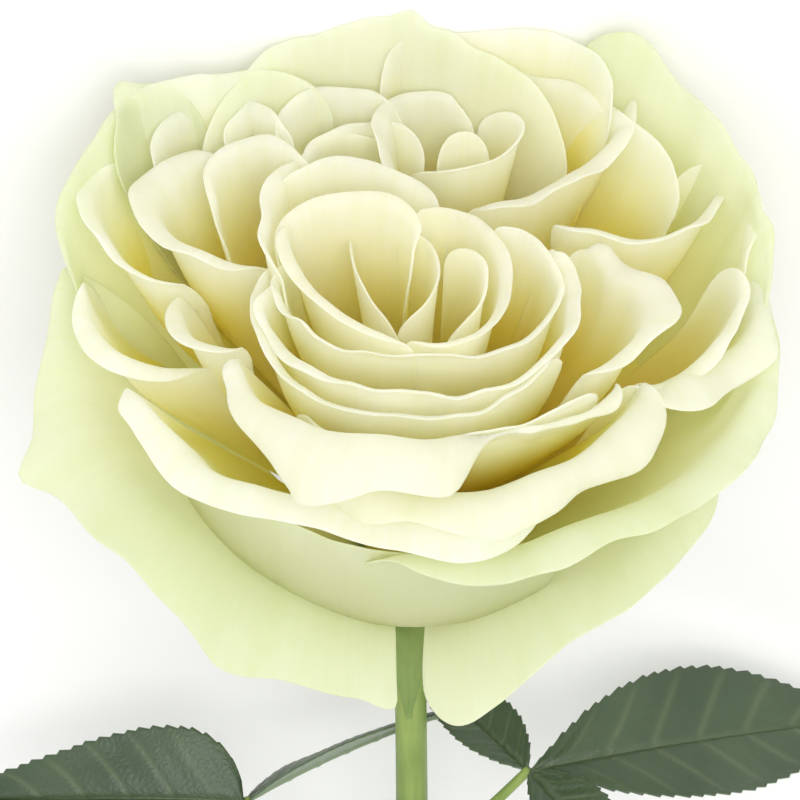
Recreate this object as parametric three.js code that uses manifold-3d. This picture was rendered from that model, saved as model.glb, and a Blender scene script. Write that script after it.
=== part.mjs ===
// A cut rose lying on a table: a full, quartered bloom on a straight green stem with two compound leaves.
// Everything is modelled in the flower's own frame, in millimetres: +Z runs up the stem through the bloom,
// +X is its right side and +Y its back. The group at the end lays the flower down, so that its stem runs
// along the part's Y axis and its back petals and the cut end rest on the surface.
import * as THREE from "three";
import { mergeVertices } from "three/addons/utils/BufferGeometryUtils.js";
import Module from "manifold-3d";

const wasm = await Module();
wasm.setup();

// Driving dimensions.
const BLOOM_WIDTH = 113; // across the crests of the outermost petals
const BLOOM_HEIGHT = 73; // from the seat of the petals to the highest crest
const PETAL_THICKNESS = 0.6;
const PETAL_CLEARANCE = 0.35; // left between pieces of the bloom where they would meet
const RECEPTACLE_RADIUS = 9.4;
const RECEPTACLE_DEPTH = 15;
const SEPAL_LENGTH = 23;
const SEPAL_WIDTH = 8;
const SEPAL_THICKNESS = 0.9;
const STEM_LENGTH = 250;
const STEM_TOP_DIAMETER = 5.4;
const STEM_CUT_DIAMETER = 6.8;
const STEM_BOW = 1; // how far the middle of the stem stands off a straight line
const PRICKLE_LENGTH = 5;
const LEAFLET_LENGTH = 62; // of the leaflet at a leaf's tip
const LEAFLET_WIDTH = 28;
const LEAFLET_THICKNESS = 0.7;
const LEAFLET_TAPER = 0.8; // power of its taper: a small one makes a blunt base
const LEAF_STALK_DIAMETER = 2;
const LEAF_CLEARANCE = 0.35; // between a stalk, the stem and the leaflets
const PRESS_DEPTH = 4; // how far the surface pushes up the lowest petals
const PRESS_BAND = 6; // the height in which they flatten against it

// The petals below are laid out on a bloom of this size, and stretched to the one above.
const LAYOUT_WIDTH = 113;
const LAYOUT_HEIGHT = 73;

// Each petal rises from the receptacle to its crest and rolls outwards in a lip. Its crest is an arc of an
// ellipse seen from above, counter-clockwise, and the core, two side whorls and the outer rings each have
// centres of their own, because a quartered bloom opens in several swirls.
// ring: its place on the receptacle, from the middle outwards
// centre, reach: the ellipse's centre and half-axes, [right, back]
// sweep: where the arc starts and ends, in degrees
// crest: its height, at even steps from start to end
// lip: length of the lip, at even steps along the crest
// turn: how far the lip rolls over, in degrees
// flare, lean, belly, spread, corner: only where the petal grows unlike its neighbours, as in petalHabit
const PETALS = {
  core_hood: {
    colour: "heart", ring: 1, centre: [-1, 4], reach: [5.5, 8], sweep: [-100, 100],
    crest: [46, 50, 51], lip: [0, 0], turn: 30,
  },
  core_wrap: {
    colour: "heart", ring: 3, centre: [8, 14], reach: [17.5, 23], sweep: [180, 237],
    crest: [50, 49, 46], lip: [0, 0], turn: 30,
  },
  heart_inner: {
    colour: "heart", ring: 4, centre: [5, 1], reach: [6.8, 8], sweep: [-85, 85],
    crest: [47, 50.5, 51], lip: [0, 1, 0], turn: 40,
  },
  heart_right: {
    colour: "heart", ring: 5, centre: [4.5, 1], reach: [10, 13.5], sweep: [-122, 118],
    crest: [48.5, 50, 54], lip: [2, 2.5, 2.5, 2, 0], turn: 60,
  },
  heart_left: {
    colour: "heart", ring: 6, centre: [-9, 6], reach: [10.5, 8.5], sweep: [-10, 195],
    crest: [51, 54.5, 50], lip: [1, 2.5, 2.5, 1], turn: 50,
  },
  heart_fold: {
    colour: "heart", ring: 6.5, centre: [15, 14], reach: [34, 30], sweep: [186, 246],
    crest: [54, 50, 48.5], lip: [2, 4, 4, 2.5], turn: 70,
  },
  ring_first: {
    colour: "petal", ring: 7, centre: [1.5, 0], reach: [21, 14.5], sweep: [155, 415],
    crest: [51, 47, 56], lip: [1, 3, 2.5, 2, 1.5, 0], turn: 60,
  },
  ring_second: {
    colour: "petal", ring: 8, centre: [1.5, -3.5], reach: [24, 18], sweep: [156, 395],
    crest: [50, 45, 54], lip: [0, 3.5, 3, 2, 4, 3.5, 0], turn: 80,
  },
  ring_third: {
    colour: "petal", ring: 9, centre: [3, -2], reach: [26.5, 21.5], sweep: [158, 325],
    crest: [51, 43.5, 49], lip: [0, 4, 3, 2, 2, 1], turn: 70,
  },
  ring_fourth: {
    colour: "petal", ring: 10, centre: [5, 0], reach: [32, 27], sweep: [222, 318],
    crest: [41, 42.5, 47], lip: [0, 2, 3, 2, 1], turn: 60,
  },
  centre_left: {
    colour: "petal", ring: 11, centre: [-2, 10], reach: [21, 24], sweep: [95, 215],
    crest: [55, 54, 50.5], lip: [0, 2, 3, 0], turn: 50,
  },
  centre_back: {
    colour: "petal", ring: 11, centre: [-10, 4], reach: [20, 19], sweep: [30, 130],
    crest: [50, 54.5, 54], lip: [0, 3, 2, 0], turn: 50,
  },
  back_pocket: {
    colour: "petal", ring: 13, centre: [-5, 25], reach: [11, 9], sweep: [40, 190],
    crest: [55, 56, 54], lip: [0, 1, 0], turn: 50,
  },
  swirl_back_core: {
    colour: "heart", ring: 10, centre: [9, 28], reach: [5.5, 4.5], sweep: [30, 170],
    crest: [54, 55, 52], lip: [0, 0], turn: 40,
  },
  swirl_back_front: {
    colour: "petal", ring: 12, centre: [8, 32], reach: [10, 6], sweep: [200, 430],
    crest: [50, 54, 57.5], lip: [0, 1, 1.5, 0], turn: 50, belly: 0.3,
  },
  swirl_back_left: {
    colour: "petal", ring: 13, centre: [7, 29], reach: [10, 9.5], sweep: [60, 262],
    crest: [58, 56, 49], lip: [0, 2, 4, 3, 1], turn: 70,
  },
  swirl_back_ruffle: {
    colour: "petal", ring: 15, centre: [14, 36], reach: [20.5, 17.5], sweep: [250, 372],
    crest: [50, 54, 59], lip: [0, 6, 7, 4, 0], turn: 80,
  },
  swirl_back_wall: {
    colour: "petal", ring: 17, centre: [0, -10], reach: [50, 54], sweep: [30, 105],
    crest: [58.5, 60, 60], lip: [0, 1.5, 2, 1, 0], turn: 50,
  },
  swirl_left_inner: {
    colour: "petal", ring: 12, centre: [-23, 17], reach: [9, 10], sweep: [20, 215],
    crest: [54, 55, 51], lip: [0, 2, 3, 0], turn: 60,
  },
  swirl_left_lip: {
    colour: "petal", ring: 14, centre: [-26, 16], reach: [12, 10], sweep: [90, 300],
    crest: [55, 50.5, 48], lip: [0, 5, 7, 6, 1], turn: 90,
  },
  swirl_left_wall: {
    colour: "petal", ring: 17, centre: [-29, 24], reach: [12, 10], sweep: [15, 205],
    crest: [57, 58, 52], lip: [0, 2, 2, 0], turn: 60,
  },
  left_pocket: {
    colour: "petal", ring: 15, centre: [-28, 1], reach: [7.5, 9], sweep: [150, 300],
    crest: [46, 43.5, 44], lip: [0, 5, 7, 2], turn: 100,
  },
  left_white: {
    colour: "petal", ring: 19, centre: [-37, 17], reach: [11.5, 12], sweep: [130, 300],
    crest: [57, 50, 45], lip: [0, 4, 4, 0], turn: 80,
  },
  left_lower: {
    colour: "petal", ring: 21, centre: [-36, 5], reach: [14.5, 12.5], sweep: [165, 300],
    crest: [48, 41, 40], lip: [0, 5, 5, 2], turn: 90,
  },
  back_white: {
    colour: "petal", ring: 20, centre: [-2, 8], reach: [34, 37], sweep: [55, 150],
    crest: [60, 61, 58], lip: [0, 2, 2, 0], turn: 50,
  },
  back_fold: {
    colour: "petal", ring: 18, centre: [-8, 26], reach: [14, 11], sweep: [45, 175],
    crest: [57, 58.5, 57], lip: [0, 2, 0], turn: 50,
  },
  right_cup: {
    colour: "petal", ring: 16, centre: [33, 19], reach: [14, 10.5], sweep: [205, 455],
    crest: [50.5, 54, 58.5], lip: [0, 4, 5, 2, 1, 0], turn: 80,
  },
  right_fan_inner: {
    colour: "petal", ring: 13, centre: [22, -5], reach: [14, 13], sweep: [280, 440],
    crest: [44.5, 49.5, 53], lip: [0, 7, 7, 3, 0], turn: 90,
  },
  right_fan_middle: {
    colour: "petal", ring: 18, centre: [32, 2], reach: [18, 18], sweep: [262, 370],
    crest: [43.5, 46, 52], lip: [0, 4, 4, 1], turn: 80,
  },
  right_fan_outer: {
    colour: "petal", ring: 20, centre: [34, 3], reach: [18.5, 19.5], sweep: [262, 360],
    crest: [41.5, 44, 51], lip: [0, 9, 11, 8, 2], turn: 100, lean: 24,
  },
  right_white: {
    colour: "petal", ring: 19, centre: [40, 9], reach: [13, 14], sweep: [325, 440],
    crest: [51, 56, 59], lip: [0, 3, 2, 0], turn: 50,
  },
  outer_right: {
    colour: "guard", ring: 24, centre: [9, 2], reach: [45.5, 42], sweep: [-20, 72],
    crest: [38, 50, 59, 63, 64.5, 71.5, 64], lip: [0, 1, 1, 1, 0], turn: 50, spread: 0.9,
  },
  outer_back_white: {
    colour: "petal", ring: 21, centre: [8, 2], reach: [38, 42.5], sweep: [45, 112],
    crest: [66, 67, 65], lip: [0, 1, 0], turn: 50,
  },
  outer_back: {
    colour: "guard", ring: 25, centre: [-4, 3], reach: [37, 43], sweep: [35, 145],
    crest: [56, 65, 68.5, 66, 57], lip: [0, 1, 1, 0], turn: 50, spread: 0.9,
  },
  outer_left_pale: {
    colour: "guard", ring: 20, centre: [-20, -6], reach: [46, 43], sweep: [80, 130],
    crest: [62, 63.5, 63], lip: [0, 1, 0], turn: 50,
  },
  outer_left_tip: {
    colour: "guard", ring: 22.5, centre: [-36, 23], reach: [12, 12], sweep: [70, 185],
    crest: [61, 63, 59], lip: [0, 1, 0], turn: 60,
  },
  outer_left: {
    colour: "guard", ring: 24, centre: [-32, 12], reach: [21.5, 22], sweep: [75, 212],
    crest: [50, 60, 60, 53, 40], lip: [0, 1, 1, 2, 0], turn: 60, spread: 1.1,
  },
  front_lip_upper: {
    colour: "petal", ring: 14, centre: [4, -6], reach: [32, 24], sweep: [185, 335],
    crest: [46, 43, 45.5], lip: [0, 1, 5, 8, 14, 19, 20, 16, 3, 2.5, 3.5, 4, 2], turn: 130, lean: 24,
  },
  front_lip_middle: {
    colour: "petal", ring: 18, centre: [9, -7], reach: [31, 25], sweep: [210, 338],
    crest: [37, 37.5, 45], lip: [0, 10, 13, 13, 9, 12, 0], turn: 110, lean: 28,
  },
  front_lip_lower: {
    colour: "petal", ring: 21, centre: [2, 8], reach: [54, 41], sweep: [208, 292],
    crest: [41, 33, 34], lip: [2, 6, 9, 10, 14, 12, 4], turn: 100, lean: 30,
  },
  front_body: {
    colour: "guard", ring: 22, centre: [0, 5], reach: [42, 40], sweep: [203, 306],
    crest: [34, 28, 24], lip: [0, 0], turn: 30, flare: 90, lean: 10, belly: 0.55,
  },
  front_lip_right: {
    colour: "guard", ring: 23, centre: [5, 0], reach: [51.5, 37], sweep: [255, 364],
    crest: [27, 33, 50], lip: [1, 8, 13, 12, 10, 2, 1], turn: 90, lean: 34, flare: 46,
  },
  guard_left: {
    colour: "guard", ring: 25, centre: [-4, 10], reach: [50, 36], sweep: [180, 272],
    crest: [46, 26, 13, 2], lip: [0, 2.5, 6, 10, 12, 12.5, 13, 17, 26, 23, 19.5, 17],
    turn: 65, flare: 66, lean: 60, corner: 2,
  },
  guard_right: {
    colour: "guard", ring: 25, centre: [6, 6], reach: [50, 33], sweep: [266, 325],
    crest: [0, 13, 25], lip: [16, 24, 19, 14, 11, 8, 6, 4], turn: 60, flare: 70, lean: 70, corner: 6,
  },
};

// Two leaves, each a stalk that leaves the stem and carries three leaflets.
// down: how far below the receptacle the stalk leaves the stem
// stalk: the points it runs through, from the middle of the stem there, [right, back, up]
// leaflets: which way each lies from the stalk's end, how long and wide it is as a share of a leaf's tip
// leaflet, which way its upper face looks, how steeply its halves fold up, in degrees, and the power of its
// taper where it isn't LEAFLET_TAPER
const LEAVES = {
  leaf_right: {
    down: 77,
    stalk: [[0, 0, 0], [5, -2, 14], [13, -4, 26], [20, -4, 36]],
    leaflets: {
      tip: { toward: [58, 18, -2], size: 1.08, upper: [0, -0.25, 1], fold: 12, taper: 1 },
      back: { toward: [-18, 21, 4], size: 0.5, upper: [0.1, -0.2, 1], fold: 16 },
      front: { toward: [18, -20, -6], size: 0.55, upper: [0, -0.1, 1], fold: 14 },
    },
  },
  leaf_left: {
    down: 89,
    stalk: [[0, 0, 0], [-11, -2, 15], [-21.5, -3, 28], [-29.5, -3, 39]],
    leaflets: {
      tip: { toward: [-55, 2, 1], size: 0.95, upper: [0, -0.35, 1], fold: 26, taper: 0.5 },
      back: { toward: [31, 17, 8], size: 0.68, upper: [0, 1, 0.9], fold: 8 },
      front: { toward: [6, -24, -8], size: 0.55, upper: [-0.2, 0, 1], fold: 14 },
    },
  },
};

// Where the stem's prickles sit: how far down it, as a share of its length, and which way round, in degrees.
const PRICKLES = [[0.47, 30], [0.55, 215], [0.64, 100], [0.74, 330], [0.84, 170]];
const PRICKLE_SINK = 0.6; // how deep a prickle's foot is in the stem
const PRICKLE_HALF_WIDTH = 0.42; // half the length of its foot, as a share of its length
const PRICKLE_HOOK = 0.35; // how far its point bends down, as a share of its length
const CUT_SLANT = 0.6; // rise of the stem's cut across it, as a share of its width

// How finely the surfaces are drawn.
const CREST_STEP = 12; // length of crest between two columns of a petal
const WALL_ROWS = 3;
const LIP_ROWS = 2;
const STEM_SIDES = 12;
const STEM_STEPS = 14;
const LEAFLET_STEPS = 8;
const LEAFLET_HALF_COLUMNS = 2;

const SEAT_DOME = 0.03; // fall of the receptacle's top, as a share of the square of the radius
const SEAT_RINGS = 29; // rings of petals that the receptacle's top has room for
const SEAT_MIDDLE = 3; // of which this many in the middle stay empty
const LEAST_EDGE = 0.4; // smallest length of a lip, and half-width of a leaflet
const CORNER_DEPTH = 0.9; // depth of a rounded corner, as a share of its width
const CORNER_MOST = 0.4; // the most of a petal's width or length that a corner takes
const SLIVER = 0.02; // features thinner than this are melted away after a cut

const radians = THREE.MathUtils.degToRad;
const UP = new THREE.Vector3(0, 0, 1);
const vector = ([x, y, z]) => new THREE.Vector3(x, y, z);

// The point of the flower's frame at an azimuth, a radius and a height.
function polar(azimuth, radius, height) {
  return new THREE.Vector3(radius * Math.cos(azimuth), radius * Math.sin(azimuth), height);
}

// Height of the receptacle's domed top at a radius.
function seatHeight(radius) {
  return -SEAT_DOME * radius * radius;
}

// A direction at an angle from upright, towards an outward direction.
function leaning(outward, angle) {
  return UP.clone().multiplyScalar(Math.cos(angle)).addScaledVector(outward, Math.sin(angle));
}

// The value at a share of the way along evenly spaced values, on a smooth curve through them.
function along(values, share) {
  const points = values.map((value) => new THREE.Vector3(value, 0, 0));
  return new THREE.CatmullRomCurve3(points, false, "catmullrom", 0.5).getPoint(share).x;
}

// The angle on its ellipse that a petal's crest reaches at a share of its length.
function crestAngle(petal, share) {
  return radians(THREE.MathUtils.lerp(...petal.sweep, share));
}

// The crest of a petal at a share of its length.
function crestPoint(petal, share) {
  const angle = crestAngle(petal, share);
  const wide = BLOOM_WIDTH / LAYOUT_WIDTH;
  const right = petal.centre[0] + petal.reach[0] * Math.cos(angle);
  const back = petal.centre[1] + petal.reach[1] * Math.sin(angle);
  const height = along(petal.crest, share) * (BLOOM_HEIGHT / LAYOUT_HEIGHT);
  return new THREE.Vector3(right * wide, back * wide, height);
}

// How far round from its facing direction a crest has come at each step, in radians.
function crestSweep(crest, facing) {
  const sweep = [];
  crest.forEach((point, i) => {
    const angle = Math.atan2(point.y, point.x) - facing;
    const before = i > 0 ? sweep[i - 1] : 0;
    const turns = Math.round((angle - before) / (2 * Math.PI));
    sweep.push(angle - 2 * Math.PI * turns);
  });
  const wholeTurns = Math.round(sweep[sweep.length >> 1] / (2 * Math.PI));
  return sweep.map((angle) => angle - 2 * Math.PI * wholeTurns);
}

// How a petal grows where its row doesn't say: outer petals spread and lean further than inner ones.
// flare: angle from upright at which it leaves the receptacle
// lean: angle from upright at which it reaches its crest
// belly: length of the wall's handles, as a share of its span
// spread: how much of its crest's sweep its foot keeps
// corner: how far in its rounded corners reach
function petalHabit(ring) {
  const angles = { flare: 9 + 1.15 * ring, lean: 5 + 0.5 * ring };
  return { ...angles, belly: 0.38, spread: 0.55, corner: 4 + 0.25 * ring };
}

// A column of points with a length left out at its end, and its points spread over what is kept.
function shortened(column, drop) {
  const reach = [0];
  for (let j = 1; j < column.length; j++)
    reach.push(reach[j - 1] + column[j].distanceTo(column[j - 1]));
  const kept = 1 - drop / reach.at(-1);
  return reach.map((full) => {
    const run = full * kept;
    const j = Math.max(1, reach.findIndex((length) => length >= run));
    const share = (run - reach[j - 1]) / (reach[j] - reach[j - 1]);
    return column[j - 1].clone().lerp(column[j], share);
  });
}

// How much lower than its middle a petal ends at a distance in from its side.
function cornerDrop(petal, girth, length, inset) {
  const width = Math.min(petal.corner, CORNER_MOST * girth);
  const inside = Math.max(0, 1 - inset / width);
  return Math.min(CORNER_DEPTH * petal.corner, CORNER_MOST * length) * (1 - Math.sqrt(1 - inside ** 2));
}

// The columns of a petal's middle surface, each a list of points from its foot to its edge.
function petalColumns(row) {
  const petal = { ...petalHabit(row.ring), ...row };
  const girth = (radians(petal.sweep[1] - petal.sweep[0]) * (petal.reach[0] + petal.reach[1])) / 2;
  const steps = Math.max(5, Math.ceil(girth / CREST_STEP));
  const shares = Array.from({ length: steps + 1 }, (_, i) => i / steps);
  const crest = shares.map((share) => crestPoint(petal, share));
  const middle = crest.reduce((sum, point) => sum.add(point), new THREE.Vector3());
  const facing = Math.atan2(middle.y, middle.x);
  const sweep = crestSweep(crest, facing);
  const seat = (RECEPTACLE_RADIUS * (petal.ring + SEAT_MIDDLE)) / SEAT_RINGS;
  const lean = radians(petal.lean);
  const turn = radians(petal.turn);
  const lipped = Math.max(...petal.lip) > 0;
  return shares.map((share, i) => {
    const top = crest[i];
    const angle = crestAngle(petal, share);
    const across = petal.reach[1] * Math.cos(angle);
    const outward = new THREE.Vector3(across, petal.reach[0] * Math.sin(angle), 0).normalize();
    const foot = polar(facing + petal.spread * sweep[i], seat, seatHeight(seat));
    const handle = petal.belly * top.distanceTo(foot);
    const away = top.clone().sub(foot).setZ(0).normalize();
    const wall = new THREE.CubicBezierCurve3(
      foot,
      foot.clone().addScaledVector(leaning(away, radians(petal.flare)), handle),
      top.clone().addScaledVector(leaning(outward, lean), -handle),
      top,
    );
    const column = wall.getPoints(WALL_ROWS);
    const lip = Math.max(along(petal.lip, share), LEAST_EDGE) * (BLOOM_WIDTH / LAYOUT_WIDTH);
    for (let k = 1; lipped && k <= LIP_ROWS; k++) {
      const bend = lean + (turn * k) / LIP_ROWS;
      const out = (Math.cos(lean) - Math.cos(bend)) / turn;
      const rise = (Math.sin(bend) - Math.sin(lean)) / turn;
      column.push(top.clone().addScaledVector(outward, lip * out).addScaledVector(UP, lip * rise));
    }
    const inset = girth * Math.min(share, 1 - share);
    return shortened(column, cornerDrop(petal, girth, top.distanceTo(foot), inset));
  });
}

// A manifold from points and triangles.
function solidFrom(points, triangles) {
  return new wasm.Manifold(
    new wasm.Mesh({
      numProp: 3,
      vertProperties: new Float32Array(points.flatMap((p) => [p.x, p.y, p.z])),
      triVerts: new Uint32Array(triangles),
    }),
  );
}

// A manifold from a closed three.js geometry.
function solidOf(geometry) {
  const bare = geometry.index ? geometry.toNonIndexed() : geometry.clone();
  bare.deleteAttribute("normal");
  bare.deleteAttribute("uv");
  const merged = mergeVertices(bare, 1e-4);
  return new wasm.Manifold(
    new wasm.Mesh({
      numProp: 3,
      vertProperties: merged.attributes.position.array,
      triVerts: new Uint32Array(merged.index.array),
    }),
  );
}

// The directions square to a grid of points, given as columns of equal length.
function gridNormals(columns) {
  const last = columns.length - 1;
  const top = columns[0].length - 1;
  const at = (i, j) => columns[THREE.MathUtils.clamp(i, 0, last)][THREE.MathUtils.clamp(j, 0, top)];
  return columns.map((column, i) =>
    column.map((_, j) => {
      const across = at(i + 1, j).clone().sub(at(i - 1, j));
      const upward = at(i, j + 1).clone().sub(at(i, j - 1));
      return across.cross(upward).normalize();
    }),
  );
}

// A closed solid of a thickness about a grid of points.
function sheetSolid(columns, thickness) {
  const last = columns.length - 1;
  const top = columns[0].length - 1;
  const normals = gridNormals(columns);
  const points = [-0.5, 0.5].flatMap((side) =>
    columns.flatMap((column, i) =>
      column.map((point, j) => point.clone().addScaledVector(normals[i][j], side * thickness)),
    ),
  );
  const index = (side, i, j) => (side * (last + 1) + i) * (top + 1) + j;
  const triangles = [];
  const quad = (a, b, c, d) => triangles.push(a, b, c, a, c, d);
  for (let i = 0; i < last; i++)
    for (let j = 0; j < top; j++) {
      quad(index(1, i, j), index(1, i + 1, j), index(1, i + 1, j + 1), index(1, i, j + 1));
      quad(index(0, i, j), index(0, i, j + 1), index(0, i + 1, j + 1), index(0, i + 1, j));
    }
  for (let i = 0; i < last; i++) {
    quad(index(0, i, 0), index(0, i + 1, 0), index(1, i + 1, 0), index(1, i, 0));
    quad(index(1, i, top), index(1, i + 1, top), index(0, i + 1, top), index(0, i, top));
  }
  for (let j = 0; j < top; j++) {
    quad(index(1, 0, j), index(1, 0, j + 1), index(0, 0, j + 1), index(0, 0, j));
    quad(index(0, last, j), index(0, last, j + 1), index(1, last, j + 1), index(1, last, j));
  }
  return solidFrom(points, triangles);
}

// A grid of points whose outer columns and rows are moved out by a distance.
function grown(columns, distance) {
  const moved = (point, inner) => point.clone().add(point.clone().sub(inner).setLength(distance));
  const taller = columns.map((column) => [
    moved(column[0], column[1]),
    ...column.slice(1, -1),
    moved(column.at(-1), column.at(-2)),
  ]);
  return [
    taller[0].map((point, j) => moved(point, taller[1][j])),
    ...taller.slice(1, -1),
    taller.at(-1).map((point, j) => moved(point, taller.at(-2)[j])),
  ];
}

// A sheet with its clearance all round it, as one hull for each of its cells: later pieces are kept out of it.
function sheetRoom(columns, thickness, clearance) {
  const grid = grown(columns, clearance);
  const half = thickness / 2 + clearance;
  const faces = gridNormals(grid).map((normals, i) =>
    normals.map((normal, j) =>
      [-half, half].map((side) => grid[i][j].clone().addScaledVector(normal, side).toArray()),
    ),
  );
  const cells = [];
  for (let i = 0; i + 1 < faces.length; i++)
    for (let j = 0; j + 1 < faces[i].length; j++)
      cells.push(
        wasm.Manifold.hull([faces[i][j], faces[i + 1][j], faces[i][j + 1], faces[i + 1][j + 1]].flat()),
      );
  return wasm.Manifold.union(cells);
}

// A closed solid through rings of points, each counter-clockwise seen from the last, with flat ends.
function ringSolid(rings) {
  const sides = rings[0].length;
  const triangles = [];
  for (let r = 0; r + 1 < rings.length; r++)
    for (let k = 0; k < sides; k++) {
      const a = r * sides + k;
      const b = r * sides + ((k + 1) % sides);
      triangles.push(a, b, b + sides, a, b + sides, a + sides);
    }
  const end = (rings.length - 1) * sides;
  for (let k = 1; k + 1 < sides; k++) triangles.push(0, k + 1, k, end, end + k, end + k + 1);
  return solidFrom(rings.flat(), triangles);
}

// The largest body of a solid that cuts have left in pieces, without slivers.
function largestBody(solid) {
  const bodies = solid.simplify(SLIVER).decompose();
  return bodies.reduce((best, body) => (body.volume() > best.volume() ? body : best));
}

// Whether two boxes overlap.
function boxesMeet(a, b) {
  return [0, 1, 2].every((k) => a.min[k] < b.max[k] && b.min[k] < a.max[k]);
}

// A solid cut back from the room that each earlier piece takes up, and the rooms list grown by its own.
const rooms = [];
function cutBack(solid, room) {
  const box = solid.boundingBox();
  let left = solid;
  for (const earlier of rooms)
    if (boxesMeet(box, earlier.boundingBox())) left = left.subtract(earlier);
  rooms.push(room);
  return largestBody(left);
}

const material = (color, roughness) =>
  new THREE.MeshStandardMaterial({ color, roughness, side: THREE.DoubleSide });
const colours = {
  petal: () => material(0xf1f0dc, 0.6),
  heart: () => material(0xf3edc4, 0.6),
  guard: () => material(0xd9e2b4, 0.6),
  calyx: () => material(0x6f8a3a, 0.55),
  stem: () => material(0x5f7f2c, 0.5),
  leaf: () => material(0x4a5f48, 0.4),
};

const flower = new THREE.Group();

// Adds a solid to the flower as a named mesh.
function add(name, solid, colour) {
  const made = solid.getMesh();
  const geometry = new THREE.BufferGeometry()
    .setAttribute("position", new THREE.BufferAttribute(new Float32Array(made.vertProperties), 3))
    .setIndex(new THREE.BufferAttribute(new Uint32Array(made.triVerts), 1));
  geometry.computeVertexNormals();
  const mesh = new THREE.Mesh(geometry, colours[colour]());
  mesh.name = name;
  flower.add(mesh);
}

// The flower lies on the lowest edge of its cut and on its back petals, which the surface pushes up.
const stemFoot = RECEPTACLE_DEPTH + STEM_LENGTH;
const cutRadius = STEM_CUT_DIAMETER / 2;
const petalGrids = Object.entries(PETALS)
  .map(([name, petal]) => ({ name, petal, columns: petalColumns(petal) }))
  .sort((a, b) => a.petal.ring - b.petal.ring);
const restTilt = Math.max(
  ...petalGrids
    .flatMap(({ columns }) => columns.flat())
    .map((point) => Math.atan2(point.y - cutRadius - PRESS_DEPTH, stemFoot + point.z)),
);
const seatLift = stemFoot * Math.sin(restTilt) + cutRadius * Math.cos(restTilt);
const lift = new THREE.Vector3(0, -Math.cos(restTilt), Math.sin(restTilt)); // straight up from the surface

// A point, moved up where it is in the band that the surface flattens.
function pressed(point) {
  const above = seatLift + point.dot(lift);
  if (above >= PRESS_BAND) return point;
  const share = Math.max(0, (above + PRESS_DEPTH) / (PRESS_BAND + PRESS_DEPTH));
  const lowest = PETAL_THICKNESS / 2;
  const flattened = lowest + (PRESS_BAND - lowest) * share ** ((PRESS_BAND + PRESS_DEPTH) / PRESS_BAND);
  return point.clone().addScaledVector(lift, flattened - above);
}

// The swollen top of the stem that the petals and sepals grow from.
function receptacleSolid(clearance) {
  const rim = RECEPTACLE_RADIUS;
  const neck = STEM_TOP_DIAMETER / 2 + 0.6;
  const profile = [
    [0, -RECEPTACLE_DEPTH - clearance],
    [neck + clearance, -RECEPTACLE_DEPTH - clearance],
    [neck + 0.5 + clearance, -0.85 * RECEPTACLE_DEPTH],
    [0.62 * rim + clearance, -0.66 * RECEPTACLE_DEPTH],
    [0.88 * rim + clearance, -0.46 * RECEPTACLE_DEPTH],
    [rim + clearance, seatHeight(rim) - 1.4],
    [rim + clearance, seatHeight(rim) - 0.5 + clearance],
    [0.6 * rim, seatHeight(0.6 * rim) - 0.5 + clearance],
    [0, clearance - 0.5],
  ];
  const points = profile.map(([radius, height]) => new THREE.Vector2(radius, height));
  return solidOf(new THREE.LatheGeometry(points, 20).rotateX(Math.PI / 2));
}

function addReceptacle() {
  add("receptacle", cutBack(receptacleSolid(0), receptacleSolid(PETAL_CLEARANCE)), "calyx");
}

// Petals, from the middle outwards: each is cut back from the pieces already made.
function addPetals() {
  for (const { name, petal, columns } of petalGrids) {
    const grid = columns.map((column) => column.map(pressed));
    const room = sheetRoom(grid, PETAL_THICKNESS, PETAL_CLEARANCE);
    add("petal_" + name, cutBack(sheetSolid(grid, PETAL_THICKNESS), room), petal.colour);
  }
}

// Five sepals, which spread from under the rim of the receptacle and bend down to a point.
function addSepals() {
  const names = ["first", "second", "third", "fourth", "fifth"];
  names.forEach((name, k) => {
    const azimuth = radians(-90 + (360 / names.length) * k);
    const side = polar(azimuth + Math.PI / 2, 1, 0);
    const root = RECEPTACLE_RADIUS + PETAL_CLEARANCE + 0.2;
    const spine = new THREE.QuadraticBezierCurve3(
      polar(azimuth, root, -0.4 * RECEPTACLE_DEPTH),
      polar(azimuth, root + 0.55 * SEPAL_LENGTH, -0.5 * RECEPTACLE_DEPTH),
      polar(azimuth, root + 0.62 * SEPAL_LENGTH, -0.5 * RECEPTACLE_DEPTH - 0.6 * SEPAL_LENGTH),
    );
    const columns = [-1, -0.5, 0, 0.5, 1].map((across) =>
      spine.getPoints(5).map((point, j) => {
        const half = Math.max((SEPAL_WIDTH / 2) * (1 - (j / 5) ** 1.6), LEAST_EDGE);
        return point.addScaledVector(side, across * half);
      }),
    );
    const room = sheetRoom(columns, SEPAL_THICKNESS, PETAL_CLEARANCE);
    add("sepal_" + name, cutBack(sheetSolid(columns, SEPAL_THICKNESS), room), "calyx");
  });
}

// The middle of the stem at a distance below the receptacle.
function stemCentre(down) {
  const share = down / STEM_LENGTH;
  return new THREE.Vector3(4 * STEM_BOW * share * (1 - share), 0, -RECEPTACLE_DEPTH - down);
}

function stemRadius(down) {
  return THREE.MathUtils.lerp(STEM_TOP_DIAMETER, STEM_CUT_DIAMETER, down / STEM_LENGTH) / 2;
}

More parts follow.
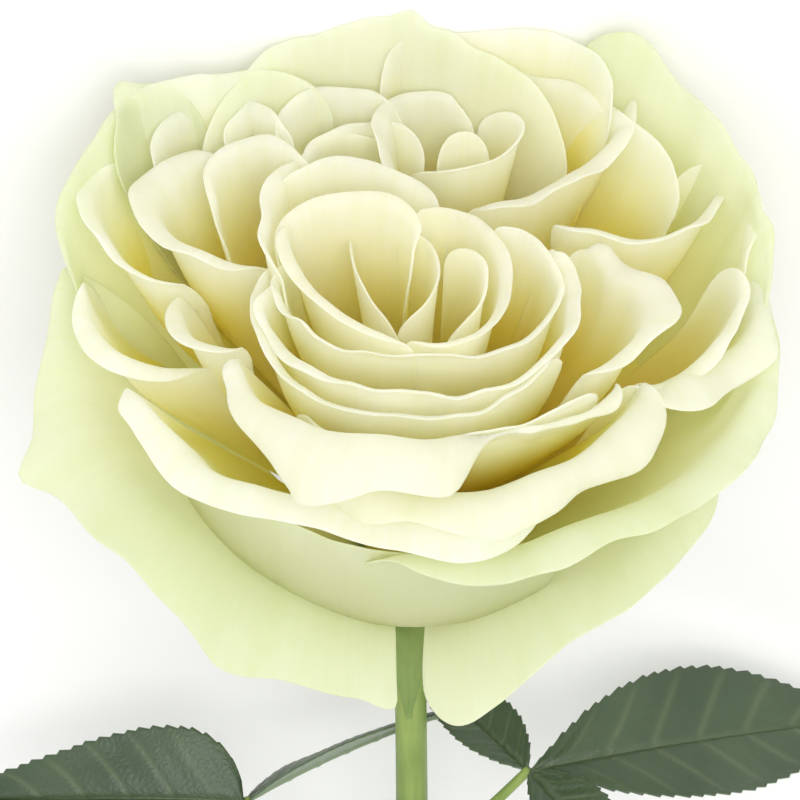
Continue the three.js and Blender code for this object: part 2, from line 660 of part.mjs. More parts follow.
// A hooked prickle: a flattened cone with its foot sunk in the stem and its point bent down.
function prickleSolid(down, azimuth) {
  const cone = new THREE.ConeGeometry(PRICKLE_HALF_WIDTH * PRICKLE_LENGTH, PRICKLE_LENGTH, 8, 3);
  const position = cone.attributes.position;
  for (let i = 0; i < position.count; i++) {
    const share = position.getY(i) / PRICKLE_LENGTH + 0.5;
    position.setZ(i, position.getZ(i) * 0.5);
    position.setX(i, position.getX(i) + PRICKLE_HOOK * PRICKLE_LENGTH * share * share);
  }
  const outward = polar(azimuth, 1, 0);
  const sideways = new THREE.Vector3().crossVectors(UP.clone().negate(), outward);
  const turned = new THREE.Matrix4().makeBasis(UP.clone().negate(), outward, sideways);
  const middle = stemRadius(down) + PRICKLE_LENGTH / 2 - PRICKLE_SINK;
  turned.setPosition(stemCentre(down).addScaledVector(outward, middle));
  return solidOf(cone.applyMatrix4(turned));
}

// The stem tapers up from a slanted cut to the receptacle.
function stemSolid(clearance) {
  const rings = [];
  for (let s = 0; s <= STEM_STEPS; s++) {
    const down = STEM_LENGTH * (1 - s / STEM_STEPS) + (s < STEM_STEPS ? 0 : PETAL_CLEARANCE);
    const ring = [];
    for (let k = 0; k < STEM_SIDES; k++) {
      const around = polar((2 * Math.PI * k) / STEM_SIDES, stemRadius(down) + clearance, 0);
      const point = stemCentre(down).add(around);
      if (s === 0) point.z += CUT_SLANT * (cutRadius - around.y);
      ring.push(point);
    }
    rings.push(ring);
  }
  let solid = ringSolid(rings);
  for (const [share, azimuth] of PRICKLES)
    solid = solid.add(prickleSolid(share * STEM_LENGTH, radians(azimuth)));
  return solid;
}

function addStem() {
  add("stem", cutBack(stemSolid(0), stemSolid(LEAF_CLEARANCE)), "stem");
}

// A leaflet: pointed, widest below its middle, folded along its midrib and drooping to its tip.
function leafletColumns(base, leaflet) {
  const forward = vector(leaflet.toward).normalize();
  const side = vector(leaflet.upper).cross(forward).normalize();
  const upper = forward.clone().cross(side);
  const length = LEAFLET_LENGTH * leaflet.size;
  const fold = radians(leaflet.fold);
  const columns = [];
  for (let i = -LEAFLET_HALF_COLUMNS; i <= LEAFLET_HALF_COLUMNS; i++) {
    const column = [];
    for (let j = 0; j <= LEAFLET_STEPS; j++) {
      const share = j / LEAFLET_STEPS;
      const swell = Math.sin(Math.PI * share ** (leaflet.taper ?? LEAFLET_TAPER)) * (1 - 0.25 * share);
      const half = Math.max((LEAFLET_WIDTH / 2) * leaflet.size * swell, LEAST_EDGE);
      const across = (i / LEAFLET_HALF_COLUMNS) * half;
      const point = base.clone().addScaledVector(forward, length * share + LEAF_CLEARANCE);
      point.addScaledVector(side, -across * Math.cos(fold));
      point.addScaledVector(upper, Math.abs(across) * Math.sin(fold) - 0.12 * length * share * share);
      column.push(point);
    }
    columns.push(column);
  }
  return columns;
}

// A leaf's stalk is a tube from the stem to where its leaflets meet.
function stalkSolid(points, radius) {
  const section = new THREE.Shape().absarc(0, 0, radius, 0, 2 * Math.PI);
  const route = new THREE.CatmullRomCurve3(points);
  const settings = { extrudePath: route, steps: 8, curveSegments: 4, bevelEnabled: false };
  return solidOf(new THREE.ExtrudeGeometry(section, settings));
}

function addLeaves() {
  for (const [name, leaf] of Object.entries(LEAVES)) {
    const radius = LEAF_STALK_DIAMETER / 2;
    const points = leaf.stalk.map((point) => vector(point).add(stemCentre(leaf.down)));
    const room = stalkSolid(points, radius + LEAF_CLEARANCE);
    add(name + "_stalk", cutBack(stalkSolid(points, radius), room), "leaf");
    const end = points.at(-1);
    for (const [place, leaflet] of Object.entries(leaf.leaflets)) {
      const columns = leafletColumns(end, leaflet);
      const taken = sheetRoom(columns, LEAFLET_THICKNESS, LEAF_CLEARANCE);
      add(name + "_" + place, cutBack(sheetSolid(columns, LEAFLET_THICKNESS), taken), "leaf");
    }
  }
}

addReceptacle();
addPetals();
addSepals();
addStem();
addLeaves();

// Laid down, and centred above the part's origin with its lowest point on the surface.
flower.rotation.x = restTilt - Math.PI / 2;
const lying = new THREE.Box3().setFromObject(flower, true);
const middle = lying.getCenter(new THREE.Vector3());
flower.position.set(-middle.x, -middle.y, -lying.min.z);

const part = new THREE.Group();
part.name = "cut_rose";
part.add(flower);
export default part;
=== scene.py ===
"""A cut rose lying on a pale table: fine petals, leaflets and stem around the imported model.

The flower is laid out in its own frame, in millimetres: X to its right, Y to its back and Z up the stem
through the bloom. Flower.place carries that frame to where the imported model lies, in metres.
"""

import math

import bmesh
import bpy
import numpy as np
from mathutils import Matrix, Vector


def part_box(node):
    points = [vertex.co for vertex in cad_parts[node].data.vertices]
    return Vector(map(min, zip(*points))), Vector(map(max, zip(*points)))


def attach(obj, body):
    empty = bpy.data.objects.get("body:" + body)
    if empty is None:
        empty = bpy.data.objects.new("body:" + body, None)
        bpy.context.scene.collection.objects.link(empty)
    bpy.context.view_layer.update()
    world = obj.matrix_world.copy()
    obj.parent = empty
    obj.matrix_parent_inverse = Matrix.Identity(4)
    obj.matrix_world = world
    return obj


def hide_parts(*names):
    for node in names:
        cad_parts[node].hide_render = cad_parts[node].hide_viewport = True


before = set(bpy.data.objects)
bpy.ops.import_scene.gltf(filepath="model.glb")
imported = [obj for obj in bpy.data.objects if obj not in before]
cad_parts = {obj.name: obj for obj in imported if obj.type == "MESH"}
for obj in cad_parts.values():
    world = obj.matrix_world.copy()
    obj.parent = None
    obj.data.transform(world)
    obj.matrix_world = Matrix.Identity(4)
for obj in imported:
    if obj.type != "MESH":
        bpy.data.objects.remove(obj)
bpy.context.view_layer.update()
MM = 0.001

# Sizes of the flower, as in the model.
RECEPTACLE_RADIUS = 9.4
RECEPTACLE_DEPTH = 15.0
SEPAL_LENGTH = 23.0
SEPAL_WIDTH = 8.0
STEM_LENGTH = 250.0
STEM_TOP_RADIUS = 2.7
STEM_CUT_RADIUS = 3.4
STEM_BOW = 1.0
STEM_GAP = 0.35
PRICKLE_LENGTH = 5.0
LEAFLET_LENGTH = 62.0
LEAFLET_WIDTH = 28.0
LEAFLET_TAPER = 0.8
LEAF_STALK_RADIUS = 1.0
PRESS_DEPTH = 4.0
PRESS_BAND = 6.0
SEAT_DOME = 0.03
SEAT_RINGS = 29
SEAT_MIDDLE = 3
CORNER_DEPTH = 0.9
CORNER_MOST = 0.4
STEM_SLANT = 0.6

# Sizes of the finer looks.
PETAL_THICKNESS = 0.34
SEPAL_THICKNESS = 0.7
LEAFLET_THICKNESS = 0.4
TIP_HALF_WIDTH = 2.5
LEAST_LIP = 0.35
STEM_SLANT_RUN = 25.0
STEM_KNOTS = (78, 90, 152, 203)  # how far down the stem swells
LEAFLET_TEETH = 26
LEAFLET_TOOTH = 0.75
LEAFLET_VEINS = 7.5
LEAFLET_VEIN_SLOPE = 0.17

# How finely the pieces are divided.
COLUMNS_PER_MM = 1.5
FEWEST_COLUMNS = 44
MOST_COLUMNS = 120
SIDE_CROWDING = 0.11
WALL_STEPS = 30
LIP_STEPS = 14
PETAL_ROWS = 46
EDGE_CROWDING = 1.35
STALK_STEPS = 60

UPRIGHT = np.array([0, 0, 1.0])
BLACK = (0, 0, 0)
WHITE = (1, 1, 1)

# Each petal rises from the receptacle to its crest and rolls outwards in a lip. Its crest is an arc of an
# ellipse seen from above, counter-clockwise.
# finish: heart, petal, pale or guard
# ring: its place on the receptacle, from the middle outwards
# centre, reach: the ellipse's centre and half-axes, (right, back)
# sweep: where the arc starts and ends, in degrees
# crest: its height, at even steps from start to end
# lip: length of the lip, at even steps along the crest
# turn: how far the lip rolls over, in degrees
# wave: height of the waves along its edge
# tip: where along the crest the petal's point is, and how far it stands out
# corner: how far in its rounded corners reach
# flare, lean: how far its wall leans out at its foot and at its crest, in degrees
# belly: how strongly its wall bows
# spread: how far round its foot reaches, as a share of its crest's reach
PETALS = {
    "core_hood": dict(
        finish="heart", ring=1, centre=(-1, 4), reach=(5.5, 8), sweep=(-100, 100),
        crest=(46, 50, 51), lip=(0, 0), turn=30, wave=0.2,
    ),
    "core_wrap": dict(
        finish="heart", ring=3, centre=(8, 14), reach=(17.5, 23), sweep=(180, 237),
        crest=(50, 49, 46), lip=(0, 0), turn=30, wave=0.2,
    ),
    "heart_inner": dict(
        finish="heart", ring=4, centre=(5, 1), reach=(6.8, 8), sweep=(-85, 85),
        crest=(47, 50.5, 51), lip=(0, 1, 0), turn=40, wave=0.5,
    ),
    "heart_right": dict(
        finish="heart", ring=5, centre=(4.5, 1), reach=(10, 13.5), sweep=(-122, 118),
        crest=(48.5, 50, 54), lip=(2, 2.5, 2.5, 2, 0), turn=60, wave=0.7,
    ),
    "heart_left": dict(
        finish="heart", ring=6, centre=(-9, 6), reach=(10.5, 8.5), sweep=(-10, 195),
        crest=(51, 54.5, 50), lip=(1, 2.5, 2.5, 1), turn=50, wave=0.9,
    ),
    "heart_fold": dict(
        finish="heart", ring=6.5, centre=(15, 14), reach=(34, 30), sweep=(186, 246),
        crest=(54, 50, 48.5), lip=(2, 4, 4, 2.5), turn=70, wave=0.5,
    ),
    "ring_first": dict(
        finish="petal", ring=7, centre=(1.5, 0), reach=(21, 14.5), sweep=(155, 415),
        crest=(51, 47, 56), lip=(1, 3, 2.5, 2, 1.5, 0), turn=60, wave=1.1,
    ),
    "ring_second": dict(
        finish="petal", ring=8, centre=(1.5, -3.5), reach=(24, 18), sweep=(156, 395),
        crest=(50, 45, 54), lip=(0, 3.5, 3, 2, 4, 3.5, 0), turn=80, wave=1.4,
    ),
    "ring_third": dict(
        finish="petal", ring=9, centre=(3, -2), reach=(26.5, 21.5), sweep=(158, 325),
        crest=(51, 43.5, 49), lip=(0, 4, 3, 2, 2, 1), turn=70, wave=1.0,
    ),
    "ring_fourth": dict(
        finish="petal", ring=10, centre=(5, 0), reach=(32, 27), sweep=(222, 318),
        crest=(41, 42.5, 47), lip=(0, 2, 3, 2, 1), turn=60, wave=0.7,
    ),
    "centre_left": dict(
        finish="petal", ring=11, centre=(-2, 10), reach=(21, 24), sweep=(95, 215),
        crest=(55, 54, 50.5), lip=(0, 2, 3, 0), turn=50, wave=1.2,
    ),
    "centre_back": dict(
        finish="petal", ring=11, centre=(-10, 4), reach=(20, 19), sweep=(30, 130),
        crest=(50, 54.5, 54), lip=(0, 3, 2, 0), turn=50, wave=1.2,
    ),
    "back_pocket": dict(
        finish="petal", ring=13, centre=(-5, 25), reach=(11, 9), sweep=(40, 190),
        crest=(55, 56, 54), lip=(0, 1, 0), turn=50, wave=1.0,
    ),
    "swirl_back_core": dict(
        finish="heart", ring=10, centre=(9, 28), reach=(5.5, 4.5), sweep=(30, 170),
        crest=(54, 55, 52), lip=(0, 0), turn=40, wave=0.3,
    ),
    "swirl_back_front": dict(
        finish="petal", ring=12, centre=(8, 32), reach=(10, 6), sweep=(200, 430),
        crest=(50, 54, 57.5), lip=(0, 1, 1.5, 0), turn=50, wave=0.4, belly=0.3,
    ),
    "swirl_back_left": dict(
        finish="petal", ring=13, centre=(7, 29), reach=(10, 9.5), sweep=(60, 262),
        crest=(58, 56, 49), lip=(0, 2, 4, 3, 1), turn=70, wave=1.2,
    ),
    "swirl_back_ruffle": dict(
        finish="petal", ring=15, centre=(14, 36), reach=(20.5, 17.5), sweep=(250, 372),
        crest=(50, 54, 59), lip=(0, 6, 7, 4, 0), turn=80, wave=1.9,
    ),
    "swirl_back_wall": dict(
        finish="petal", ring=17, centre=(0, -10), reach=(50, 54), sweep=(30, 105),
        crest=(58.5, 60, 60), lip=(0, 1.5, 2, 1, 0), turn=50, wave=0.8,
    ),
    "swirl_left_inner": dict(
        finish="petal", ring=12, centre=(-23, 17), reach=(9, 10), sweep=(20, 215),
        crest=(54, 55, 51), lip=(0, 2, 3, 0), turn=60, wave=1.2,
    ),
    "swirl_left_lip": dict(
        finish="petal", ring=14, centre=(-26, 16), reach=(12, 10), sweep=(90, 300),
        crest=(55, 50.5, 48), lip=(0, 5, 7, 6, 1), turn=90, wave=1.3,
    ),
    "swirl_left_wall": dict(
        finish="petal", ring=17, centre=(-29, 24), reach=(12, 10), sweep=(15, 205),
        crest=(57, 58, 52), lip=(0, 2, 2, 0), turn=60, wave=1.4,
    ),
    "left_pocket": dict(
        finish="petal", ring=15, centre=(-28, 1), reach=(7.5, 9), sweep=(150, 300),
        crest=(46, 43.5, 44), lip=(0, 5, 7, 2), turn=100, wave=0.8,
    ),
    "left_white": dict(
        finish="petal", ring=19, centre=(-37, 17), reach=(11.5, 12), sweep=(130, 300),
        crest=(57, 50, 45), lip=(0, 4, 4, 0), turn=80, wave=1.4,
    ),
    "left_lower": dict(
        finish="petal", ring=21, centre=(-36, 5), reach=(14.5, 12.5), sweep=(165, 300),
        crest=(48, 41, 40), lip=(0, 5, 5, 2), turn=90, wave=1.3,
    ),
    "back_white": dict(
        finish="petal", ring=20, centre=(-2, 8), reach=(34, 37), sweep=(55, 150),
        crest=(60, 61, 58), lip=(0, 2, 2, 0), turn=50, wave=1.6,
    ),
    "back_fold": dict(
        finish="petal", ring=18, centre=(-8, 26), reach=(14, 11), sweep=(45, 175),
        crest=(57, 58.5, 57), lip=(0, 2, 0), turn=50, wave=1.4,
    ),
    "right_cup": dict(
        finish="petal", ring=16, centre=(33, 19), reach=(14, 10.5), sweep=(205, 455),
        crest=(50.5, 54, 58.5), lip=(0, 4, 5, 2, 1, 0), turn=80, wave=1.5,
    ),
    "right_fan_inner": dict(
        finish="petal", ring=13, centre=(22, -5), reach=(14, 13), sweep=(280, 440),
        crest=(44.5, 49.5, 53), lip=(0, 7, 7, 3, 0), turn=90, wave=1.6,
    ),
    "right_fan_middle": dict(
        finish="petal", ring=18, centre=(32, 2), reach=(18, 18), sweep=(262, 370),
        crest=(43.5, 46, 52), lip=(0, 4, 4, 1), turn=80, wave=1.3,
    ),
    "right_fan_outer": dict(
        finish="petal", ring=20, centre=(34, 3), reach=(18.5, 19.5), sweep=(262, 360),
        crest=(41.5, 44, 51), lip=(0, 9, 11, 8, 2), turn=100, lean=24, wave=1.9,
    ),
    "right_white": dict(
        finish="petal", ring=19, centre=(40, 9), reach=(13, 14), sweep=(325, 440),
        crest=(51, 56, 59), lip=(0, 3, 2, 0), turn=50, wave=1.4,
    ),
    "outer_right": dict(
        finish="guard", ring=24, centre=(9, 2), reach=(45.5, 42), sweep=(-20, 72),
        crest=(38, 50, 59, 63, 64.5, 71.5, 64), lip=(0, 1, 1, 1, 0), turn=50, spread=0.9, wave=1.0,
        tip=(0.27, 1.2),
    ),
    "outer_back_white": dict(
        finish="petal", ring=21, centre=(8, 2), reach=(38, 42.5), sweep=(45, 112),
        crest=(66, 67, 65), lip=(0, 1, 0), turn=50, wave=1.4,
    ),
    "outer_back": dict(
        finish="pale", ring=25, centre=(-4, 3), reach=(37, 43), sweep=(35, 145),
        crest=(56, 65, 68.5, 66, 57), lip=(0, 1, 1, 0), turn=50, spread=0.9, wave=0.9, tip=(0.44, 3),
    ),
    "outer_left_pale": dict(
        finish="pale", ring=20, centre=(-20, -6), reach=(46, 43), sweep=(80, 130),
        crest=(62, 63.5, 63), lip=(0, 1, 0), turn=50, wave=0.6,
    ),
    "outer_left_tip": dict(
        finish="guard", ring=22.5, centre=(-36, 23), reach=(12, 12), sweep=(70, 185),
        crest=(61, 63, 59), lip=(0, 1, 0), turn=60, wave=0.6, tip=(0.6, 3),
    ),
    "outer_left": dict(
        finish="guard", ring=24, centre=(-32, 12), reach=(21.5, 22), sweep=(75, 212),
        crest=(50, 60, 60, 53, 40), lip=(0, 1, 1, 2, 0), turn=60, spread=1.1, wave=0.9,
    ),
    "front_lip_upper": dict(
        finish="petal", ring=14, centre=(4, -6), reach=(32, 24), sweep=(185, 335),
        crest=(46, 43, 45.5), lip=(0, 1, 5, 8, 14, 19, 20, 16, 3, 2.5, 3.5, 4, 2),
        turn=130, lean=24, wave=1.9,
    ),
    "front_lip_middle": dict(
        finish="petal", ring=18, centre=(9, -7), reach=(31, 25), sweep=(210, 338),
        crest=(37, 37.5, 45), lip=(0, 10, 13, 13, 9, 12, 0), turn=110, lean=28, wave=1.6,
    ),
    "front_lip_lower": dict(
        finish="petal", ring=21, centre=(2, 8), reach=(54, 41), sweep=(208, 292),
        crest=(41, 33, 34), lip=(2, 6, 9, 10, 14, 12, 4), turn=100, lean=30, wave=1.3,
    ),
    "front_body": dict(
        finish="guard", ring=22, centre=(0, 5), reach=(42, 40), sweep=(203, 306),
        crest=(34, 28, 24), lip=(0, 0), turn=30, flare=90, lean=10, belly=0.55, wave=0.5,
    ),
    "front_lip_right": dict(
        finish="guard", ring=23, centre=(5, 0), reach=(51.5, 37), sweep=(255, 364),
        crest=(27, 33, 50), lip=(1, 8, 13, 12, 10, 2, 1), turn=90, lean=34, flare=46, wave=1.2,
    ),
    "guard_left": dict(
        finish="guard", ring=25, centre=(-4, 10), reach=(50, 36), sweep=(180, 272),
        crest=(46, 26, 13, 2), lip=(0, 2.5, 6, 10, 12, 12.5, 13, 17, 26, 23, 19.5, 17),
        turn=65, flare=66, lean=60, wave=1.0, tip=(0.33, 5), corner=2,
    ),
    "guard_right": dict(
        finish="guard", ring=25, centre=(6, 6), reach=(50, 33), sweep=(266, 325),
        crest=(0, 13, 25), lip=(16, 24, 19, 14, 11, 8, 6, 4), turn=60, flare=70, lean=70, wave=1.0, corner=6,
    ),
}

# Two leaves: how far below the receptacle each stalk leaves the stem, the points it runs through from there,
# and which way its leaflets lie from the stalk's end, how long and wide they are as a share of a tip leaflet,
# which way they face, how steeply they fold and, where it isn't LEAFLET_TAPER, the power of their taper: a
# small one makes a blunt base.
LEAVES = {
    "leaf_right": dict(
        down=77,
        stalk=((0, 0, 0), (5, -2, 14), (13, -4, 26), (20, -4, 36)),
        leaflets={
            "tip": dict(toward=(58, 18, -2), size=1.08, upper=(0, -0.25, 1), fold=12, taper=1.0),
            "back": dict(toward=(-18, 21, 4), size=0.5, upper=(0.1, -0.2, 1), fold=16),
            "front": dict(toward=(18, -20, -6), size=0.55, upper=(0, -0.1, 1), fold=14),
        },
    ),
    "leaf_left": dict(
        down=89,
        stalk=((0, 0, 0), (-11, -2, 15), (-21.5, -3, 28), (-29.5, -3, 39)),
        leaflets={
            "tip": dict(toward=(-55, 2, 1), size=0.95, upper=(0, -0.35, 1), fold=26, taper=0.5),
            "back": dict(toward=(31, 17, 8), size=0.68, upper=(0, 1, 0.9), fold=8),
            "front": dict(toward=(6, -24, -8), size=0.55, upper=(-0.2, 0, 1), fold=14),
        },
    ),
}

# Where the stem's prickles sit: how far down it, as a share of its length, and which way round, in degrees.
PRICKLES = ((0.47, 30), (0.55, 215), (0.64, 100), (0.74, 330), (0.84, 170))

# The camera looks down on the bloom, this far above a level view of the upright flower.
CAMERA_ELEVATION = math.radians(42)
CAMERA_DISTANCE = 600.0
CAMERA_LENS = 170.1
CAMERA_AIM = (-1.4, 19.8, 20.0)  # of the middle of the view: right, up and towards the camera


def unit(v):
    """v, or each row of v, at length 1."""
    v = np.asarray(v, float)
    return v / np.maximum(np.linalg.norm(v, axis=-1, keepdims=True), 1e-9)


def smooth_through(values, shares):
    """A smooth curve through evenly spaced values, at shares of the way along."""
    points = np.asarray(values, float)
    padded = np.concatenate([[2 * points[0] - points[1]], points, [2 * points[-1] - points[-2]]])
    spot = np.clip(shares, 0, 1) * (len(points) - 1)
    i = np.minimum(spot.astype(int), len(points) - 2)
    w = spot - i
    if points.ndim > 1:
        w = w[:, None]
    p0, p1, p2, p3 = (padded[i + k] for k in range(4))
    t1 = (p2 - p0) / 2
    t2 = (p3 - p1) / 2
    return p1 + t1 * w + (3 * (p2 - p1) - 2 * t1 - t2) * w**2 + (2 * (p1 - p2) + t1 + t2) * w**3


class Flower:
    """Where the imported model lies: its tilt and the point that the flower's own frame starts from."""

    def __init__(self):
        stem_low, stem_high = (Vector(c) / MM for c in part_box("stem"))
        seat_low, seat_high = (Vector(c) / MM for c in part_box("receptacle"))
        straight = STEM_LENGTH - STEM_GAP
        ends = STEM_CUT_RADIUS + STEM_TOP_RADIUS
        rise = (stem_high.z - stem_low.z) / math.hypot(straight, ends)
        self.tilt = math.asin(rise) - math.atan2(ends, straight)
        foot = RECEPTACLE_DEPTH + STEM_LENGTH
        sine, cosine = math.sin(self.tilt), math.cos(self.tilt)
        self.up_stem = np.array([0, cosine, sine])
        self.back = np.array([0, sine, -cosine])
        self.seat = np.array([
            (seat_low.x + seat_high.x) / 2,
            stem_low.y + foot * cosine - STEM_CUT_RADIUS * sine,
            stem_low.z + foot * sine + STEM_CUT_RADIUS * cosine,
        ])
        self.turn = np.array([[1, 0, 0], self.back, self.up_stem])

    def place(self, points):
        """Points of the flower's frame, in millimetres, where they lie, in metres."""
        return (np.asarray(points, float) @ self.turn + self.seat) * MM

    def pressed(self, points):
        """Points moved up where they are in the band that the surface flattens."""
        above = (points @ self.turn)[..., 2] + self.seat[2]
        share = np.clip((above + PRESS_DEPTH) / (PRESS_BAND + PRESS_DEPTH), 0, 1)
        lowest = PETAL_THICKNESS / 2 + 0.12
        power = (PRESS_BAND + PRESS_DEPTH) / PRESS_BAND
        flattened = lowest + (PRESS_BAND - lowest) * share**power
        rise = np.where(above < PRESS_BAND, flattened - above, 0)
        return points + rise[..., None] * (self.turn @ np.array([0, 0, 1]))


flower = Flower()


def make_camera():
    """The camera, above the front of the bloom, with the stem running down the picture."""
    right = np.array([1.0, 0, 0])
    up = np.array([0, math.sin(CAMERA_ELEVATION), math.cos(CAMERA_ELEVATION)])
    toward = np.array([0, -math.cos(CAMERA_ELEVATION), math.sin(CAMERA_ELEVATION)])
    aim = CAMERA_AIM[0] * right + CAMERA_AIM[1] * up + CAMERA_AIM[2] * toward
    spot = flower.place(aim + CAMERA_DISTANCE * toward)
    turned = [axis @ flower.turn for axis in (right, up, toward)]
    camera = bpy.data.objects.new("camera", bpy.data.cameras.new("camera"))
    camera.data.sensor_width = 36
    camera.data.lens = CAMERA_LENS
    camera.data.clip_start = 0.05
    camera.data.clip_end = 20
    rows = [[*(float(axis[k]) for axis in turned), float(spot[k])] for k in range(3)]
    camera.matrix_world = Matrix([*rows, [0, 0, 0, 1]])
    bpy.context.scene.collection.objects.link(camera)
    bpy.context.scene.camera = camera


make_camera()


# ---------------------------------------------------------------- smooth noise


def noise(seed, x, y):
    """Smooth repeatable noise from -1 to 1 at (x, y), with features about 1 apart."""
    rng = np.random.default_rng(seed)
    table = rng.uniform(-1, 1, (64, 64))
    xi, yi = np.floor(x).astype(int), np.floor(y).astype(int)
    xf, yf = x - xi, y - yi
    xs, ys = xf * xf * (3 - 2 * xf), yf * yf * (3 - 2 * yf)

    def at(a, b):
        return table[a % 64, b % 64]

    low = at(xi, yi) * (1 - xs) + at(xi + 1, yi) * xs
    high = at(xi, yi + 1) * (1 - xs) + at(xi + 1, yi + 1) * xs
    return low * (1 - ys) + high * ys


def edge_noise(seed, along, size):
    """Smooth noise at places along an edge, with features about size apart."""
    return noise(seed, along / size, 0 * along)


# ---------------------------------------------------------------- meshes


def write_attributes(mesh, attributes):
    """Writes one float per point for each named attribute."""
    for key, values in attributes.items():
        layer = mesh.attributes.new(key, "FLOAT", "POINT")
        layer.data.foreach_set("value", values.astype(np.float32))


def write_uvs(mesh, u, v):
    """Writes each point's shares as the mesh's UVs."""
    uv = mesh.uv_layers.new(name="UVMap")
    corners = np.zeros(len(mesh.loops), int)
    mesh.loops.foreach_get("vertex_index", corners)
    spots = np.column_stack([u, v])[corners]
    uv.data.foreach_set("uv", spots.ravel().astype(np.float32))


def sheet_mesh(name, grid, thickness, attributes):
    """An object from a grid of points: a closed sheet with a rounded edge, with one float per point for each
    named attribute, the grid's shares as its UVs and "under", which tells its two sides apart."""
    columns, rows = grid.shape[:2]
    count = columns * rows
    half = thickness / 2
    normal = unit(np.cross(np.gradient(grid, axis=0), np.gradient(grid, axis=1)))
    middles = grid.reshape(-1, 3)
    offset = normal.reshape(-1, 3) * half
    index = np.arange(count).reshape(columns, rows)
    a, b = index[:-1, :-1].ravel(), index[1:, :-1].ravel()
    c, d = index[1:, 1:].ravel(), index[:-1, 1:].ravel()
    rim = np.concatenate([index[:, 0], index[-1, 1:], index[-2::-1, -1], index[0, -2:0:-1]])
    inner = np.concatenate([index[:, 1], index[-2, 1:], index[-2::-1, -2], index[1, -2:0:-1]])
    bulge = middles[rim] + unit(middles[rim] - middles[inner]) * half * 0.9
    points = np.concatenate([middles + offset, middles - offset, bulge])
    after = np.roll(rim, -1)
    outer = 2 * count + np.arange(len(rim))
    next_outer = np.roll(outer, -1)
    faces = np.concatenate([
        np.column_stack([a, b, c, d]),
        np.column_stack([d, c, b, a]) + count,
        np.column_stack([after, rim, outer, next_outer]),
        np.column_stack([next_outer, outer, rim + count, after + count]),
    ])
    mesh = bpy.data.meshes.new(name)
    mesh.from_pydata(flower.place(points).tolist(), [], faces.tolist())

    def per_point(values):
        flat = values.ravel()
        return np.concatenate([flat, flat, flat[rim]])

    layers = {key: per_point(values) for key, values in attributes.items()}
    layers["under"] = np.concatenate([np.zeros(count), np.ones(count), np.full(len(rim), 0.5)])
    write_attributes(mesh, layers)
    u = np.linspace(0, 1, columns)[:, None] * np.ones(rows)
    v = np.ones(columns)[:, None] * np.linspace(0, 1, rows)
    write_uvs(mesh, per_point(u), per_point(v))
    mesh.polygons.foreach_set("use_smooth", np.ones(len(mesh.polygons), bool))
    mesh.update()
    return link(name, mesh)


def link(name, mesh):
    """A new object with the mesh, in the scene."""
    made = bpy.data.objects.new(name, mesh)
    bpy.context.scene.collection.objects.link(made)
    return made


def stand_for(piece, node, material):
    """The piece rides on the model, stands for its CAD node and takes its finish from the slot."""
    piece.data.materials.append(material)
    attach(piece, "root")
    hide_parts(node)


# ---------------------------------------------------------------- petals


def petal_habit(ring):
    """How a petal grows where its row doesn't say: outer petals spread and lean further."""
    angles = dict(flare=9 + 1.15 * ring, lean=5 + 0.5 * ring)
    return dict(**angles, belly=0.38, spread=0.55, corner=4 + 0.25 * ring, tip=(0.5, 0))


def petal_crest(petal, u, girth, seed):
    """The petal's crest and its outward direction at shares u, with the waves along it."""
    start, end = (math.radians(a) for a in petal["sweep"])
    angle = start + (end - start) * u
    centre, reach = petal["centre"], petal["reach"]
    crest = np.column_stack([
        centre[0] + reach[0] * np.cos(angle),
        centre[1] + reach[1] * np.sin(angle),
        smooth_through(petal["crest"], u),
    ])
    outward = unit(np.column_stack([reach[1] * np.cos(angle), reach[0] * np.sin(angle), 0 * u]))
    wobble = edge_noise(seed, girth * u, 13)
    ripple = edge_noise(seed + 50, girth * u, 5.5)
    swell = edge_noise(seed + 90, girth * u, 10)
    crest += outward * (petal["wave"] * (1.1 * wobble + 0.5 * ripple))[:, None]
    crest[:, 2] += petal["wave"] * (0.8 * swell + 0.4 * ripple)
    return crest, outward


def petal_wall(petal, crest, outward):
    """Columns of points from the foot of each wall to its crest."""
    facing = math.atan2(crest[:, 1].mean(), crest[:, 0].mean())
    sweep = np.unwrap(np.arctan2(crest[:, 1], crest[:, 0]) - facing)
    sweep -= 2 * math.pi * round(sweep[len(sweep) // 2] / (2 * math.pi))
    foot_angle = facing + petal["spread"] * sweep
    seat = RECEPTACLE_RADIUS * (petal["ring"] + SEAT_MIDDLE) / SEAT_RINGS
    foot = np.column_stack([
        seat * np.cos(foot_angle),
        seat * np.sin(foot_angle),
        np.full(len(crest), -SEAT_DOME * seat * seat),
    ])
    span = crest - foot
    handle = petal["belly"] * np.linalg.norm(span, axis=1, keepdims=True)
    away = unit(span * [1, 1, 0])
    flare, lean = math.radians(petal["flare"]), math.radians(petal["lean"])
    first = foot + handle * (math.cos(flare) * UPRIGHT + math.sin(flare) * away)
    second = crest - handle * (math.cos(lean) * UPRIGHT + math.sin(lean) * outward)
    t = np.linspace(0, 1, WALL_STEPS)[None, :, None]
    p0, p1, p2, p3 = (point[:, None] for point in (foot, first, second, crest))
    return (1 - t) ** 3 * p0 + 3 * (1 - t) ** 2 * t * p1 + 3 * (1 - t) * t**2 * p2 + t**3 * p3


